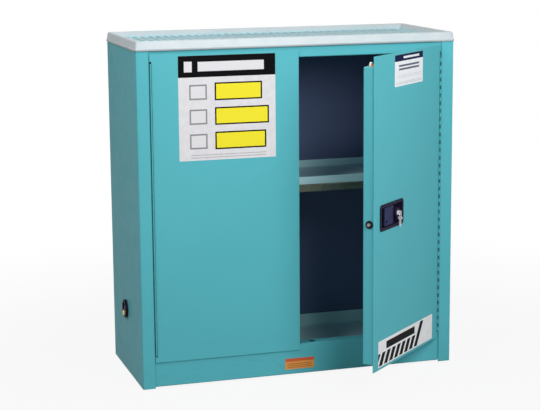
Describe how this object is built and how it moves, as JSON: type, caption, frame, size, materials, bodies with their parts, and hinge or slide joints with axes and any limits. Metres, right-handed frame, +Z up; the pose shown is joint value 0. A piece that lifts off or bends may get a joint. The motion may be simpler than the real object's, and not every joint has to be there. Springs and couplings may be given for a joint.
{
  "type": "double-wall safety cabinet",
  "caption": "Low double-wall steel safety cabinet with two hinged doors, a three-point latch worked by a recessed paddle, a shelf, liner trays, side vents and a lift-off tray top.",
  "frame": {"origin": "middle of the bounding box in plan, with the right door ajar, at the undersides of the feet", "axes": "+X to the right seen from the front, +Y from the doors to the back, +Z up"},
  "size_m": [1.1184, 0.7982, 1.1496],
  "materials": {
    "teal_paint": "semi-gloss powder coat",
    "pale_plastic": "satin polyethylene",
    "black_plastic": "fine-grained",
    "amber_plastic": "smooth",
    "bright_steel": "bright",
    "zinc_steel": "dull zinc",
    "brass": "turned"
  },
  "bodies": {
    "cabinet": {"left_side_panel": "teal_paint", "right_side_panel": "teal_paint", "header_panel": "teal_paint", "kick_panel": "teal_paint", "back_panel": "teal_paint", "top_panel": "teal_paint", "base_panel": "teal_paint", "foot_front_left": "black_plastic", "foot_front_right": "black_plastic", "foot_rear_left": "black_plastic", "foot_rear_right": "black_plastic", "inner_left_wall": "teal_paint", "inner_right_wall": "teal_paint", "inner_back_wall": "teal_paint", "inner_top_panel": "teal_paint", "inner_floor_pan": "teal_paint", "shelf": "zinc_steel", "hanger_front_left": "zinc_steel", "hanger_rear_left": "zinc_steel", "hanger_front_right": "zinc_steel", "hanger_rear_right": "zinc_steel", "sump_tray": "pale_plastic", "left_vent_bung": "zinc_steel", "left_flame_arrester": "zinc_steel", "right_vent_bung": "zinc_steel", "right_flame_arrester": "zinc_steel", "left_hinge_frame_leaf": "teal_paint", "left_hinge_pin": "bright_steel", "right_hinge_frame_leaf": "teal_paint", "right_hinge_pin": "bright_steel"},
    "left_door": {"left_hinge_door_leaf": "teal_paint", "left_door_skin": "teal_paint", "left_door_liner": "teal_paint", "left_top_bolt_guide": "amber_plastic", "left_bottom_bolt_guide": "amber_plastic"},
    "right_door": {"right_hinge_door_leaf": "teal_paint", "right_door_skin": "teal_paint", "right_door_liner": "teal_paint", "latch_bracket": "zinc_steel", "right_top_bolt_guide": "amber_plastic", "right_bottom_bolt_guide": "amber_plastic", "mid_bolt_bushing": "black_plastic", "handle_housing": "black_plastic", "paddle_pin": "bright_steel"},
    "paddle": {"pull_paddle": "black_plastic"},
    "top_bolt": {"top_bolt": "bright_steel"},
    "bottom_bolt": {"bottom_bolt": "bright_steel"},
    "mid_bolt": {"mid_bolt": "bright_steel"},
    "lock": {"lock_plug": "bright_steel", "key": "bright_steel"},
    "key_ring": {"spare_key": "bright_steel", "key_ring": "bright_steel"},
    "left_top_flush_bolt": {"left_top_flush_bolt": "bright_steel"},
    "left_bottom_flush_bolt": {"left_bottom_flush_bolt": "bright_steel"},
    "left_vent_plug": {"left_vent_plug": "black_plastic", "left_vent_fitting": "brass"},
    "right_vent_plug": {"right_vent_plug": "black_plastic", "right_vent_fitting": "brass"},
    "top_tray": {"top_tray": "pale_plastic"},
    "shelf_tray": {"shelf_tray": "pale_plastic"}
  },
  "joints": [
    {"name": "left_door_swing", "type": "hinge", "parent": "cabinet", "child": "left_door", "pos_m": [-0.4994, -0.06254, 0], "axis": [0, 0, -1], "range_deg": [0, 180]},
    {"name": "right_door_swing", "type": "hinge", "parent": "cabinet", "child": "right_door", "pos_m": [0.4994, -0.06254, 0], "axis": [0, 0, 1], "range_deg": [-42.8, 137.2]},
    {"name": "paddle_pull", "type": "hinge", "parent": "right_door", "child": "paddle", "pos_m": [0.22947, -0.30296, 0.589], "axis": [0, 0, 1], "range_deg": [0, 28.1]},
    {"name": "top_bolt_slide", "type": "slide", "parent": "right_door", "child": "top_bolt", "axis": [0, 0, -1], "range_m": [0, 0.013], "stiffness_N_per_m": 400, "springref_m": -0.015},
    {"name": "bottom_bolt_slide", "type": "slide", "parent": "right_door", "child": "bottom_bolt", "axis": [0, 0, 1], "range_m": [0, 0.0135]},
    {"name": "mid_bolt_slide", "type": "slide", "parent": "right_door", "child": "mid_bolt", "axis": [0.7337, 0.6794, 0], "range_m": [0, 0.0135]},
    {"name": "lock_turn", "type": "hinge", "parent": "right_door", "child": "lock", "pos_m": [0.25962, -0.28253, 0.589], "axis": [0.6794, -0.7337, 0], "range_deg": [0, 90]},
    {"name": "key_ring_swing", "type": "hinge", "parent": "lock", "child": "key_ring", "pos_m": [0.26608, -0.2895, 0.5878], "axis": [0.7337, 0.6794, 0], "range_deg": [-25, 2]},
    {"name": "left_top_flush_bolt_slide", "type": "slide", "parent": "left_door", "child": "left_top_flush_bolt", "axis": [0, 0, -1], "range_m": [0, 0.014]},
    {"name": "left_bottom_flush_bolt_slide", "type": "slide", "parent": "left_door", "child": "left_bottom_flush_bolt", "axis": [0, 0, 1], "range_m": [0, 0.014]},
    {"name": "left_vent_plug_turn", "type": "hinge", "parent": "cabinet", "child": "left_vent_plug", "pos_m": [-0.5461, 0.18196, 0.2235], "axis": [-1, 0, 0], "continuous": true},
    {"name": "right_vent_plug_turn", "type": "hinge", "parent": "cabinet", "child": "right_vent_plug", "pos_m": [0.5461, 0.18196, 0.9506], "axis": [1, 0, 0], "continuous": true},
    {"name": "top_tray_lift", "type": "slide", "parent": "cabinet", "child": "top_tray", "axis": [0, 0, 1], "range_m": [0, 0.3]},
    {"name": "shelf_tray_lift", "type": "slide", "parent": "cabinet", "child": "shelf_tray", "axis": [0, 0, 1], "range_m": [0, 0.3]}
  ],
  "couplings": [
    {"joint": "paddle_pull", "follows": "top_bolt_slide", "rad_per_m": 37.592},
    {"joint": "bottom_bolt_slide", "follows": "top_bolt_slide", "ratio": 1},
    {"joint": "mid_bolt_slide", "follows": "top_bolt_slide", "ratio": 1}
  ]
}
